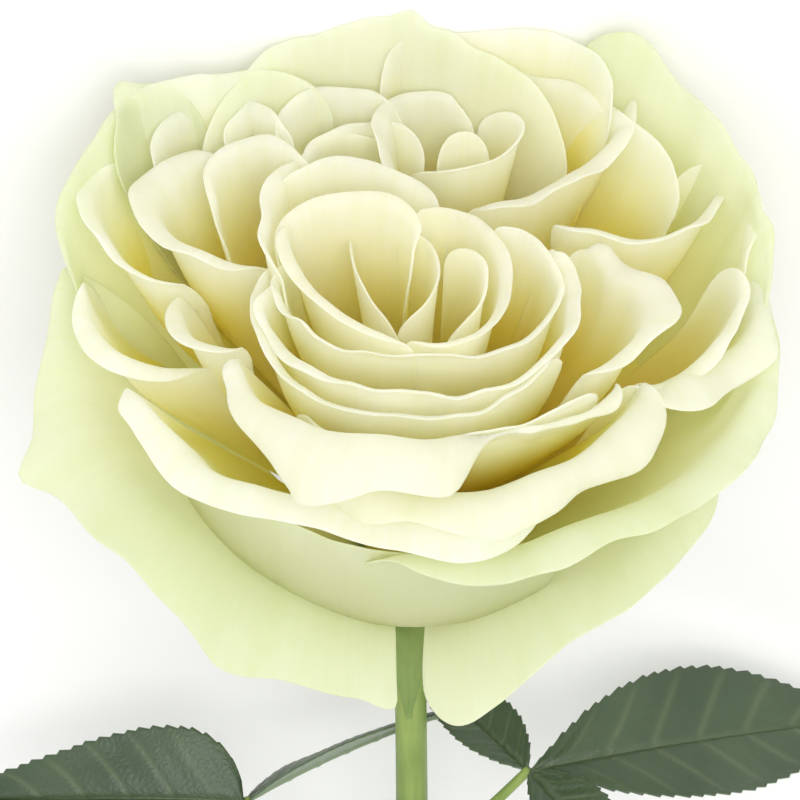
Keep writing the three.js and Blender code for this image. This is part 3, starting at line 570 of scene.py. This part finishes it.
def petal_lip(petal, crest, outward, u, girth, seed):
    """The points of the lip that rolls outwards from the crest, and its length at each column."""
    lean, turn = math.radians(petal["lean"]), math.radians(petal["turn"])
    tip_place, tip_length = petal["tip"]
    length = np.maximum(smooth_through(petal["lip"], u), LEAST_LIP)
    length = length * (1 + 0.22 * edge_noise(seed + 7, girth * u, 8))
    length = length + tip_length * np.exp(-(((u - tip_place) * girth / TIP_HALF_WIDTH) ** 2))
    roll = turn * (1 + 0.35 * edge_noise(seed + 20, girth * u, 12))[:, None]
    bend = lean + roll * np.linspace(0, 1, LIP_STEPS + 1)[None, 1:]
    out = (math.cos(lean) - np.cos(bend)) / roll
    rise = (np.sin(bend) - math.sin(lean)) / roll
    rolled = out[..., None] * outward[:, None] + rise[..., None] * UPRIGHT
    return crest[:, None] + length[:, None, None] * rolled, length


def round_corners(grid, corner, share, u, girth):
    """The grid laid out again so that columns near the petal's sides end lower, with its rows at the given
    shares of the way up, and how far below the edge each point is."""
    steps = np.linalg.norm(np.diff(grid, axis=1), axis=2)
    run = np.concatenate([np.zeros((len(grid), 1)), np.cumsum(steps, axis=1)], axis=1)
    total = run[:, -1]
    wide = min(corner, CORNER_MOST * girth)
    inside = np.clip(1 - girth * np.minimum(u, 1 - u) / wide, 0, 1)
    drop = np.minimum(CORNER_DEPTH * corner, CORNER_MOST * total) * (1 - np.sqrt(1 - inside**2))
    height = (total - drop)[:, None]
    spots = share[None] * height
    cut = np.empty((len(grid), len(share), 3))
    for i in range(len(grid)):
        for k in range(3):
            cut[i, :, k] = np.interp(spots[i], run[i], grid[i, :, k])
    return cut, height - spots


def petal_waves(petal, grid, below, share, u, girth, seed):
    """The grid with soft waves that grow towards its edge, and a fine flutter along the edge itself."""
    around = girth * u[:, None] + 0 * below
    normal = unit(np.cross(np.gradient(grid, axis=0), np.gradient(grid, axis=1)))
    soft = petal["wave"] * noise(seed + 31, around / 9, below / 14)
    flutter = 0.5 * petal["wave"] * noise(seed + 63, around / 3.6, below / 6)
    return grid + normal * (0.6 * soft * share**1.5 + flutter * np.exp(-below / 3.5))[..., None]


def petal_grid(row, seed):
    """A petal's middle surface as a grid of points, and how deep in the bloom each is."""
    petal = {**petal_habit(row["ring"]), **row}
    start, end = (math.radians(a) for a in petal["sweep"])
    girth = (end - start) * sum(petal["reach"]) / 2
    columns = int(np.clip(girth * COLUMNS_PER_MM, FEWEST_COLUMNS, MOST_COLUMNS))
    even = np.linspace(0, 1, columns)
    u = even - SIDE_CROWDING * np.sin(2 * math.pi * even)
    crest, outward = petal_crest(petal, u, girth, seed)
    wall = petal_wall(petal, crest, outward)
    lip, length = petal_lip(petal, crest, outward, u, girth, seed)
    share = 1 - (1 - np.linspace(0, 1, PETAL_ROWS)) ** EDGE_CROWDING
    grid, below = round_corners(np.concatenate([wall, lip], axis=1), petal["corner"], share, u, girth)
    deep = np.maximum(below - 0.9 * length[:, None], 0) + 0.12 * below
    return flower.pressed(petal_waves(petal, grid, below, share, u, girth, seed)), deep


def make_petals(materials):
    """Every petal, over its CAD sheet."""
    for name, petal in PETALS.items():
        grid, deep = petal_grid(petal, sum(map(ord, name)))
        piece = sheet_mesh(name, grid, PETAL_THICKNESS, {"deep": deep})
        stand_for(piece, "petal_" + name, materials[petal["finish"]])


# ---------------------------------------------------------------- materials


class Paint:
    """A small helper to build a node material."""

    def __init__(self, name):
        self.material = bpy.data.materials.new(name)
        self.material.use_nodes = True
        self.tree = self.material.node_tree
        self.shader = self.tree.nodes["Principled BSDF"]
        self.output = self.tree.nodes["Material Output"]

    def node(self, kind, **settings):
        """A new node with its settings."""
        made = self.tree.nodes.new(kind)
        for key, value in settings.items():
            setattr(made, key, value)
        return made

    def link(self, source, target):
        self.tree.links.new(source, target)

    def set(self, **values):
        """Sets the shader's own inputs, with _ for each space in their names."""
        for key, value in values.items():
            self.shader.inputs[key.replace("_", " ")].default_value = value

    def attribute(self, name):
        return self.node("ShaderNodeAttribute", attribute_name=name).outputs["Fac"]

    def object_spot(self):
        """Where a point is on the object."""
        return self.node("ShaderNodeTexCoord").outputs["Object"]

    def math(self, operation, *values):
        """One step of arithmetic on sockets and plain numbers."""
        made = self.node("ShaderNodeMath", operation=operation)
        for socket, value in zip(made.inputs, values):
            if isinstance(value, (int, float)):
                socket.default_value = value
            else:
                self.link(value, socket)
        return made.outputs[0]

    def ramp(self, source, stops):
        """Colours that follow a source, from (place, colour) stops."""
        made = self.node("ShaderNodeValToRGB")
        elements = made.color_ramp.elements
        while len(elements) < len(stops):
            elements.new(0.5)
        for element, (position, color) in zip(elements, stops):
            element.position = position
            element.color = (*color, 1)
        self.link(source, made.inputs[0])
        return made.outputs["Color"]

    def mask(self, source, low, high):
        """Black where the source is below low, white where it is above high."""
        return self.ramp(source, [(low, BLACK), (high, WHITE)])

    def mix(self, factor, a, b, blend="MIX"):
        """b over a, as far as the factor says."""
        made = self.node("ShaderNodeMix", data_type="RGBA", blend_type=blend)
        for socket, value in ((made.inputs[0], factor), (made.inputs[6], a), (made.inputs[7], b)):
            if isinstance(value, (int, float)):
                socket.default_value = value
            elif isinstance(value, tuple):
                socket.default_value = (*value, 1)
            else:
                self.link(value, socket)
        return made.outputs[2]

    def noise(self, scale, detail, vector=None, stretch=None):
        """A noise texture over the object, or over the vector that is given."""
        made = self.node("ShaderNodeTexNoise")
        made.inputs["Scale"].default_value = scale
        made.inputs["Detail"].default_value = detail
        if vector is None:
            vector = self.object_spot()
        if stretch is not None:
            mapping = self.node("ShaderNodeMapping")
            mapping.inputs["Scale"].default_value = stretch
            self.link(vector, mapping.inputs["Vector"])
            vector = mapping.outputs[0]
        self.link(vector, made.inputs["Vector"])
        return made.outputs["Fac"]

    def bump(self, height, strength, distance):
        """Fine relief from a height, on the shader."""
        made = self.node("ShaderNodeBump")
        made.inputs["Strength"].default_value = strength
        made.inputs["Distance"].default_value = distance
        self.link(height, made.inputs["Height"])
        self.link(made.outputs[0], self.shader.inputs["Normal"])


VEIN_TINT = (0.965, 0.975, 0.89)
SEE_THROUGH = 0.62  # the share of light that comes through a petal


def petal_material(name, stops, reach, flush, flush_amount, glow):
    """A petal, coloured by how far below its edge a point is: pale at the rim and yellow in the depths, with
    fine veins that run from its foot to its edge.

    reach: how far down the last colour comes, in millimetres
    flush, flush_amount: the colour of its soft patches and how strong they are
    glow: the tint of light that comes through it"""
    paint = Paint(name)
    deep = paint.attribute("deep")
    uv = paint.node("ShaderNodeUVMap").outputs[0]
    cloud = paint.noise(70, 3)
    depth = paint.math("DIVIDE", deep, reach)
    depth = paint.math("ADD", depth, paint.math("MULTIPLY", paint.math("SUBTRACT", cloud, 0.5), 0.22))
    color = paint.ramp(depth, stops)
    veins = paint.noise(1.0, 3, uv, (30, 1.3, 1))
    fine = paint.noise(1.0, 2, uv, (120, 2.5, 1))
    lines = paint.math("ADD", paint.math("MULTIPLY", veins, 0.5), paint.math("MULTIPLY", fine, 0.5))
    vein_mask = paint.mask(lines, 0.40, 0.62)
    patch = paint.mask(paint.noise(32, 3), 0.42, 0.66)
    color = paint.mix(paint.math("MULTIPLY", patch, flush_amount), color, flush)
    darker = paint.mix(1.0, color, VEIN_TINT, "MULTIPLY")
    color = paint.mix(paint.math("MULTIPLY", vein_mask, 0.6), color, darker)
    paint.link(color, paint.shader.inputs["Base Color"])
    paint.set(Roughness=0.55, Specular_IOR_Level=0.22, Sheen_Weight=0.1, Sheen_Roughness=0.5)
    paint.bump(lines, 0.22, 0.0004)
    through = paint.node("ShaderNodeBsdfTranslucent")
    paint.link(paint.mix(1.0, color, glow, "MULTIPLY"), through.inputs["Color"])
    both = paint.node("ShaderNodeMixShader")
    both.inputs[0].default_value = SEE_THROUGH
    paint.link(paint.shader.outputs[0], both.inputs[1])
    paint.link(through.outputs[0], both.inputs[2])
    paint.link(both.outputs[0], paint.output.inputs["Surface"])
    return paint.material


def leaf_material():
    """A leaflet: dark grey-green and glossy above, paler below, with lighter veins."""
    paint = Paint("leaf")
    vein = paint.attribute("vein")
    cloud = paint.noise(55, 4)
    base = paint.ramp(cloud, [(0.3, (0.034, 0.062, 0.028)), (0.7, (0.060, 0.095, 0.045))])
    above = paint.mix(paint.math("MULTIPLY", vein, 0.55), base, (0.13, 0.17, 0.085))
    below = paint.mix(paint.math("MULTIPLY", vein, 0.5), (0.16, 0.22, 0.13), (0.26, 0.33, 0.18))
    color = paint.mix(paint.attribute("under"), above, below)
    paint.link(color, paint.shader.inputs["Base Color"])
    paint.set(Roughness=0.36, Specular_IOR_Level=0.5)
    net = paint.node("ShaderNodeTexVoronoi", feature="DISTANCE_TO_EDGE")
    net.inputs["Scale"].default_value = 900
    paint.link(paint.object_spot(), net.inputs["Vector"])
    paint.bump(net.outputs["Distance"], 0.35, 0.0003)
    return paint.material


def green_material(name, low, high, rough, scale, stretch):
    """A smooth green skin with lengthways streaks, for the stem, stalks, sepals and receptacle. It is pale
    where the pith shows and reddish at a prickle's tip."""
    paint = Paint(name)
    streaks = paint.noise(scale, 4, None, stretch)
    cloud = paint.noise(38, 3)
    blend = paint.math("ADD", paint.math("MULTIPLY", streaks, 0.55), paint.math("MULTIPLY", cloud, 0.45))
    color = paint.ramp(blend, [(0.36, low), (0.64, high)])
    color = paint.mix(paint.attribute("pith"), color, (0.62, 0.64, 0.40))
    color = paint.mix(paint.math("MULTIPLY", paint.attribute("tip"), 0.8), color, (0.34, 0.13, 0.05))
    paint.link(color, paint.shader.inputs["Base Color"])
    paint.set(Roughness=rough, Specular_IOR_Level=0.4, Subsurface_Weight=0.15, Subsurface_Scale=0.001)
    paint.bump(streaks, 0.3, 0.0004)
    return paint.material


PETAL_FINISHES = {
    "heart": petal_material(
        "petal_heart",
        [
            (0.0, (0.975, 0.975, 0.955)),
            (0.2, (0.98, 0.977, 0.92)),
            (0.55, (0.985, 0.972, 0.80)),
            (1.0, (0.985, 0.95, 0.52)),
        ],
        20, (0.97, 0.965, 0.88), 0.3, (1.0, 0.99, 0.90),
    ),
    "petal": petal_material(
        "petal_white",
        [
            (0.0, (0.97, 0.975, 0.96)),
            (0.15, (0.975, 0.975, 0.93)),
            (0.50, (0.975, 0.963, 0.77)),
            (1.0, (0.975, 0.91, 0.36)),
        ],
        19, (0.955, 0.96, 0.90), 0.3, (1.0, 0.99, 0.92),
    ),
    "pale": petal_material(
        "petal_pale",
        [
            (0.0, (0.95, 0.96, 0.91)),
            (0.15, (0.95, 0.955, 0.88)),
            (0.50, (0.95, 0.95, 0.80)),
            (1.0, (0.92, 0.89, 0.55)),
        ],
        50, (0.91, 0.935, 0.80), 0.4, (1.0, 0.995, 0.90),
    ),
    "guard": petal_material(
        "petal_green",
        [
            (0.0, (0.90, 0.92, 0.82)),
            (0.15, (0.89, 0.905, 0.77)),
            (0.50, (0.88, 0.88, 0.68)),
            (1.0, (0.84, 0.79, 0.42)),
        ],
        60, (0.83, 0.875, 0.66), 0.42, (0.98, 0.98, 0.84),
    ),
}


# ---------------------------------------------------------------- stem, receptacle, sepals, leaves


def shell_mesh(name, shells):
    """One object from closed shells, each (points, faces, attributes)."""
    points, faces, start = [], [], 0
    columns = {key: [] for key in shells[0][2]}
    for shell_points, shell_faces, attributes in shells:
        points.append(np.asarray(shell_points, float).reshape(-1, 3))
        faces += [tuple(start + int(i) for i in face) for face in shell_faces]
        start += len(points[-1])
        for key, values in attributes.items():
            columns[key].append(np.asarray(values, float).ravel())
    mesh = bpy.data.meshes.new(name)
    mesh.from_pydata(flower.place(np.concatenate(points)).tolist(), [], faces)
    write_attributes(mesh, {key: np.concatenate(values) for key, values in columns.items()})
    mesh.polygons.foreach_set("use_smooth", np.ones(len(mesh.polygons), bool))
    shape = bmesh.new()
    shape.from_mesh(mesh)
    bmesh.ops.recalc_face_normals(shape, faces=shape.faces)
    shape.to_mesh(mesh)
    shape.free()
    mesh.update()
    return link(name, mesh)


def ring_faces(rings, sides):
    """Faces of a tube through rings of points, with flat ends."""
    faces = []
    for i in range(rings - 1):
        for k in range(sides):
            a, b = i * sides + k, i * sides + (k + 1) % sides
            faces.append((a, b, b + sides, a + sides))
    faces.append(tuple(range(sides)))
    faces.append(tuple(range((rings - 1) * sides, rings * sides)))
    return faces


def stem_radius(down):
    """The stem's radius at a place down it."""
    return STEM_TOP_RADIUS + (STEM_CUT_RADIUS - STEM_TOP_RADIUS) * down / STEM_LENGTH


def stem_centres(down):
    """The middle of the stem at places down it, with its slight bow."""
    share = down / STEM_LENGTH
    bow = 4 * STEM_BOW * share * (1 - share)
    return np.column_stack([bow, 0 * down, -RECEPTACLE_DEPTH - down])


def prickle_shell(share_down, degrees):
    """A hooked prickle: a flattened cone on a long foot, with its point bent down."""
    down = share_down * STEM_LENGTH
    sides, steps = 20, 12
    azimuth = math.radians(degrees)
    outward = np.array([math.cos(azimuth), math.sin(azimuth), 0])
    downward = np.array([0, 0, -1.0])
    sideways = np.cross(downward, outward)
    radius = stem_radius(down)
    middle = stem_centres(np.array([float(down)]))[0]
    rings = []
    for share in np.linspace(0, 1, steps):
        thin = (1 - share) ** 1.35 * (0.42 * PRICKLE_LENGTH) + 0.06
        centre = middle + outward * (radius - 0.6 + PRICKLE_LENGTH * share)
        centre = centre + downward * 0.35 * PRICKLE_LENGTH * share * share
        for angle in np.linspace(0, 2 * math.pi, sides, endpoint=False):
            across = thin * math.cos(angle) * downward + 0.45 * thin * math.sin(angle) * sideways
            rings.append(centre + across)
    tip = np.repeat(np.linspace(0, 1, steps), sides)
    return rings, ring_faces(steps, sides), {"tip": tip, "pith": 0 * tip}


def make_stem(material):
    """The stem: a slanted cut with pale pith, slight swellings at its knots, and prickles."""
    sides = 36
    angles = np.linspace(0, 2 * math.pi, sides, endpoint=False)
    rows = [(STEM_LENGTH, share) for share in (0.02, 0.35, 0.66, 0.8, 0.88, 0.96)]
    rows += [(float(down), 1.0) for down in np.linspace(STEM_LENGTH, STEM_GAP, 170)]
    points, pith = [], []
    for down, share in rows:
        swell = sum(0.12 * math.exp(-(((down - knot) / 4) ** 2)) for knot in STEM_KNOTS)
        radius = share * (stem_radius(down) * 0.97 + swell)
        wobble = 1 + 0.016 * np.sin(3 * angles + down / 18) + 0.010 * np.sin(8 * angles + down / 40)
        centre = stem_centres(np.array([down]))[0]
        ring = centre + np.column_stack([
            radius * wobble * np.cos(angles),
            radius * wobble * np.sin(angles),
            0 * angles,
        ])
        cut = max(0.0, 1 - (STEM_LENGTH - down) / STEM_SLANT_RUN)
        ring[:, 2] += STEM_SLANT * cut * (STEM_CUT_RADIUS - (ring[:, 1] - centre[1]))
        points.append(ring)
        pith.append(np.full(sides, 1.0 if share < 0.85 else 0.0))
    pith = np.concatenate(pith)
    body = (np.concatenate(points), ring_faces(len(rows), sides), {"tip": 0 * pith, "pith": pith})
    stem = shell_mesh("stem", [body] + [prickle_shell(*spot) for spot in PRICKLES])
    stand_for(stem, "stem", material)


def make_receptacle(material):
    """The swollen top of the stem, faintly ribbed below the sepals."""
    sides = 60
    angles = np.linspace(0, 2 * math.pi, sides, endpoint=False)
    rim, neck = RECEPTACLE_RADIUS, STEM_TOP_RADIUS + 0.6

    def dome(radius):
        return -SEAT_DOME * radius * radius

    profile = [
        (neck, -RECEPTACLE_DEPTH),
        (neck + 0.5, -0.85 * RECEPTACLE_DEPTH),
        (0.62 * rim, -0.66 * RECEPTACLE_DEPTH),
        (0.88 * rim, -0.46 * RECEPTACLE_DEPTH),
        (rim, dome(rim) - 1.4),
        (rim, dome(rim) - 0.5),
        (0.6 * rim, dome(0.6 * rim) - 0.5),
        (0.1, -0.5),
    ]
    fine = smooth_through(profile, np.linspace(0, 1, 40))
    rings = []
    for radius, height in fine:
        ribs = 1 + 0.012 * np.sin(10 * angles) * min(1.0, max(0.0, -height / 6))
        rings.append(np.column_stack([
            radius * ribs * np.cos(angles),
            radius * ribs * np.sin(angles),
            np.full(sides, height),
        ]))
    plain = np.zeros(len(rings) * sides)
    shell = (np.concatenate(rings), ring_faces(len(rings), sides), {"tip": plain, "pith": plain})
    stand_for(shell_mesh("receptacle", [shell]), "receptacle", material)


def sepal_spine(outward):
    """The middle line of a sepal: out from the receptacle and bending down."""
    root = RECEPTACLE_RADIUS + 0.55
    half_down = 0.5 * RECEPTACLE_DEPTH
    stations = [
        outward * root - UPRIGHT * 0.4 * RECEPTACLE_DEPTH,
        outward * (root + 0.55 * SEPAL_LENGTH) - UPRIGHT * half_down,
        outward * (root + 0.62 * SEPAL_LENGTH) - UPRIGHT * (half_down + 0.6 * SEPAL_LENGTH),
    ]
    t = np.linspace(0, 1, 46)
    weights = ((1 - t) ** 2, 2 * t * (1 - t), t**2)
    return t, sum(weight[:, None] * station for weight, station in zip(weights, stations))


def make_sepals(material):
    """Five sepals: leafy, ribbed, with side lobes, bending down to long points."""
    across = np.linspace(-1, 1, 19)[:, None]
    rib = np.exp(-((across / 0.13) ** 2))
    for k, name in enumerate(("first", "second", "third", "fourth", "fifth")):
        azimuth = math.radians(-90 + 72 * k)
        outward = np.array([math.cos(azimuth), math.sin(azimuth), 0])
        side = np.array([-math.sin(azimuth), math.cos(azimuth), 0])
        t, spine = sepal_spine(outward)
        normal = unit(np.cross(side, np.gradient(spine, axis=0)))
        half = np.maximum(SEPAL_WIDTH / 2 * (1 - t**1.6), 0.35)
        lobe = 1 + 0.12 * np.sin(t * 17 + k) * (t > 0.15) * (t < 0.75)
        cupping = (0.35 * rib - 0.9 * across**2) * (1 - t)
        grid = spine[None] + side * (across * half * lobe)[..., None] + normal[None] * cupping[..., None]
        plain = np.zeros(grid.shape[:2])
        piece = sheet_mesh("sepal_" + name, grid, SEPAL_THICKNESS, {"tip": plain, "pith": plain})
        stand_for(piece, "sepal_" + name, material)


def leaflet_grid(base, leaflet, seed):
    """A leaflet's middle surface, toothed and quilted between its side veins, and how near each point is to a
    vein."""
    forward = unit(leaflet["toward"])
    side = unit(np.cross(leaflet["upper"], forward))
    upper = np.cross(forward, side)
    length = LEAFLET_LENGTH * leaflet["size"]
    steps, columns = 120, 61
    share = np.linspace(0, 1, steps)
    swell = np.sin(math.pi * share ** leaflet.get("taper", LEAFLET_TAPER)) * (1 - 0.25 * share)
    half = np.maximum(LEAFLET_WIDTH / 2 * leaflet["size"] * swell, 0.45)
    teeth = max(12, round(LEAFLET_TEETH * leaflet["size"] ** 0.5))
    saw = (share * teeth) % 1
    tooth = LEAFLET_TOOTH * leaflet["size"] ** 0.5 * (saw - 0.5) * np.clip(np.sin(math.pi * share) * 3, 0, 1)
    across = np.linspace(-1, 1, columns)[:, None]
    edge = np.abs(across)
    reach = across * half + np.sign(across) * edge**12 * tooth
    phase = (share[None] - LEAFLET_VEIN_SLOPE * edge * (1 - 0.35 * share[None])) * LEAFLET_VEINS
    near = 1 - 2 * np.abs((phase % 1) - 0.5)
    side_vein = np.exp(-(((1 - near) / 0.16) ** 2)) * (1 - edge**6) * np.clip(4 * share[None], 0, 1)
    midrib = np.exp(-((np.abs(reach) / (0.75 - 0.5 * share[None])) ** 2))
    fold = math.radians(leaflet["fold"])
    ripple = noise(seed, 5 * share[None] + 0 * edge, 1.5 * across + 0 * share[None])
    wave = 0.9 * leaflet["size"] * ripple * edge
    quilt = 0.8 * np.sin(math.pi * near / 2) * edge * (1 - edge)
    height = np.abs(reach) * math.sin(fold) - 0.12 * length * share[None] ** 2 + wave
    height = height + quilt - 0.5 * midrib - 0.15 * side_vein
    grid = (
        base
        + forward * (length * share[None] + STEM_GAP)[..., None]
        - side * (reach * math.cos(fold))[..., None]
        + upper * height[..., None]
    )
    return grid, np.maximum(side_vein * 0.8, midrib)


def stalk_mesh(name, stations):
    """A leaf's stalk through its stations, a little flattened and thinner towards its end."""
    sides = 18
    angles = np.linspace(0, 2 * math.pi, sides, endpoint=False)
    share = np.linspace(0, 1, STALK_STEPS)
    centres = smooth_through(stations, share)
    travel = unit(np.gradient(centres, axis=0))
    first = unit(np.cross(travel, [0, 1, 0]))
    second = np.cross(travel, first)
    radius = LEAF_STALK_RADIUS * (1.12 - 0.2 * share)
    flat = 1 + 0.05 * np.sin(2 * angles)
    along_first = first[:, None] * (flat * np.cos(angles))[:, None]
    along_second = second[:, None] * (flat * np.sin(angles))[:, None]
    ring = along_first + along_second
    plain = np.zeros(STALK_STEPS * sides)
    points = centres[:, None] + ring * radius[:, None, None]
    return shell_mesh(name, [(points, ring_faces(STALK_STEPS, sides), {"tip": plain, "pith": plain})])


def make_leaves(material, stalk_material):
    """Both leaves: a stalk each, with three leaflets."""
    for number, (name, leaf) in enumerate(LEAVES.items()):
        stations = np.asarray(leaf["stalk"], float) + stem_centres(np.array([float(leaf["down"])]))
        stand_for(stalk_mesh(name + "_stalk", stations), name + "_stalk", stalk_material)
        for place, leaflet in leaf["leaflets"].items():
            seed = 900 + 10 * number + len(place)
            grid, vein = leaflet_grid(stations[-1], leaflet, seed)
            piece = sheet_mesh(name + "_" + place, grid, LEAFLET_THICKNESS, {"vein": vein})
            stand_for(piece, name + "_" + place, material)


def make_floor():
    """A plain pale table top."""
    bpy.ops.mesh.primitive_plane_add(size=8)
    floor = bpy.context.object
    floor.name = "table"
    paint = Paint("table")
    color = paint.ramp(paint.noise(3, 2), [(0.3, (0.82, 0.82, 0.81)), (0.7, (0.86, 0.86, 0.85))])
    paint.link(color, paint.shader.inputs["Base Color"])
    paint.set(Roughness=0.9)
    floor.data.materials.append(paint.material)


def make_light(name, spot, aim, size, power):
    """A square soft light at a spot, turned to its aim."""
    data = bpy.data.lights.new(name, "AREA")
    data.size = size
    data.energy = power
    made = bpy.data.objects.new(name, data)
    made.location = spot
    made.rotation_euler = (Vector(aim) - Vector(spot)).to_track_quat("-Z", "Y").to_euler()
    bpy.context.scene.collection.objects.link(made)


def make_lights():
    """A white surround and three soft lights over the bloom, with enough bounces to fill its folds."""
    scene = bpy.context.scene
    scene.view_settings.view_transform = "Standard"
    scene.cycles.max_bounces = 24
    scene.cycles.diffuse_bounces = 18
    scene.cycles.transmission_bounces = 18
    scene.world = bpy.data.worlds.new("studio")
    scene.world.use_nodes = True
    background = scene.world.node_tree.nodes["Background"]
    background.inputs["Color"].default_value = (1, 1, 1, 1)
    background.inputs["Strength"].default_value = 1.0
    aim = tuple(float(v) for v in flower.place((0, 0, 40)))
    make_light("key", (0.12, aim[1] + 0.45, 0.95), aim, 0.7, 4.5)
    make_light("side", (-0.7, aim[1] + 0.1, 0.5), aim, 0.6, 0.5)
    make_light("fill", (0.5, aim[1] - 0.5, 0.7), aim, 0.8, 0.4)


green = green_material("stem_green", (0.12, 0.20, 0.035), (0.27, 0.36, 0.085), 0.45, 300, (1, 0.12, 1))
calyx = green_material("calyx_green", (0.14, 0.22, 0.05), (0.26, 0.35, 0.11), 0.55, 200, (1, 0.3, 1))
make_petals(PETAL_FINISHES)
make_receptacle(calyx)
make_sepals(calyx)
make_stem(green)
make_leaves(leaf_material(), green)
make_floor()
make_lights()
